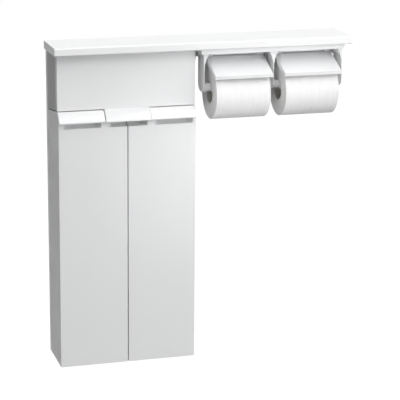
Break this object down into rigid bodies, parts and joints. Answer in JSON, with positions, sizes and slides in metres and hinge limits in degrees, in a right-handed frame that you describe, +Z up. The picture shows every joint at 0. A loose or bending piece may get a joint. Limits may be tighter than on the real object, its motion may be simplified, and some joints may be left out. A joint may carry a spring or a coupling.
{
  "type": "toilet roll storage cabinet",
  "caption": "White wall cabinet with a shelf board, a lift-up flap over two tall tilt-out bins, and two covered toilet roll holders under the shelf.",
  "frame": {"origin": "the middle of the four screw holes in the back of the cabinet's tray, on the tray's back face", "axes": "+Z up, -Y out of the wall towards the user, +X to the right, from the cabinet towards the roll holders"},
  "size_m": [0.62, 0.1633, 0.668],
  "materials": {
    "shelf_laminate": "white laminate on a board, satin",
    "tray_paint": "white painted sheet steel, satin",
    "side_laminate": "white laminate on a board, satin",
    "inner_board": "pale laminate on a board, matt",
    "pale_plastic": "pale grey moulded plastic",
    "front_plastic": "white moulded plastic, satin",
    "grip_plastic": "white moulded plastic, satin",
    "tub_plastic": "pale moulded plastic, matt",
    "steel": "plain steel",
    "base_steel": "grey painted sheet steel",
    "pad_rubber": "dark soft rubber",
    "holder_plastic": "white moulded plastic, satin",
    "cover_plastic": "white moulded plastic, glossy",
    "roll_paper": "soft wound tissue paper",
    "core_cardboard": "wound grey-brown cardboard"
  },
  "bodies": {
    "root": {"shelf_board": "shelf_laminate", "back_tray": "tray_paint", "upper_left_side": "side_laminate", "upper_right_side": "side_laminate", "upper_floor": "inner_board", "upper_top": "inner_board", "corner_blocks": "pale_plastic", "flap_hinge_plates": "steel", "flap_magnet": "pale_plastic", "left_magnet": "pale_plastic", "left_hinge_rod": "steel", "right_magnet": "pale_plastic", "right_hinge_rod": "steel", "base_plate": "base_steel", "tilt_stop_pads": "pad_rubber", "holder_housing": "holder_plastic", "arm_left": "holder_plastic", "arm_middle": "holder_plastic", "arm_right": "holder_plastic", "stub_1": "holder_plastic", "stub_2": "holder_plastic", "stub_3": "holder_plastic", "stub_4": "holder_plastic", "cover_rod_left": "steel", "cover_rod_right": "steel", "shelf_screws": "steel", "arm_screws": "steel"},
    "flap": {"flap_panel": "front_plastic", "flap_grip": "grip_plastic", "flap_pins": "steel", "flap_strike": "steel"},
    "left_bin": {"left_bin_front": "front_plastic", "left_bin_tub": "tub_plastic", "left_bin_grip": "grip_plastic", "left_strike": "steel"},
    "right_bin": {"right_bin_front": "front_plastic", "right_bin_tub": "tub_plastic", "right_bin_grip": "grip_plastic", "right_strike": "steel"},
    "left_cover": {"cover_left": "cover_plastic"},
    "right_cover": {"cover_right": "cover_plastic"},
    "left_roll": {"roll_left": "roll_paper", "core_left": "core_cardboard"},
    "right_roll": {"roll_right": "roll_paper", "core_right": "core_cardboard"}
  },
  "joints": [
    {"name": "flap_lift", "type": "hinge", "parent": "root", "child": "flap", "pos_m": [0, -0.107, 0.315], "axis": [-1, 0, 0], "range_deg": [0, 80]},
    {"name": "left_bin_tilt", "type": "hinge", "parent": "root", "child": "left_bin", "pos_m": [-0.0715, -0.098, -0.31], "axis": [1, 0, 0], "range_deg": [0, 20]},
    {"name": "right_bin_tilt", "type": "hinge", "parent": "root", "child": "right_bin", "pos_m": [0.0715, -0.098, -0.31], "axis": [1, 0, 0], "range_deg": [0, 20]},
    {"name": "left_cover_lift", "type": "hinge", "parent": "root", "child": "left_cover", "pos_m": [0.23175, -0.094, 0.308], "axis": [-1, 0, 0], "range_deg": [0, 33]},
    {"name": "right_cover_lift", "type": "hinge", "parent": "root", "child": "right_cover", "pos_m": [0.37825, -0.094, 0.308], "axis": [-1, 0, 0], "range_deg": [0, 33]},
    {"name": "left_roll_spin", "type": "hinge", "parent": "root", "child": "left_roll", "pos_m": [0.23175, -0.106, 0.232], "axis": [1, 0, 0], "continuous": true},
    {"name": "right_roll_spin", "type": "hinge", "parent": "root", "child": "right_roll", "pos_m": [0.37825, -0.106, 0.232], "axis": [1, 0, 0], "continuous": true}
  ]
}
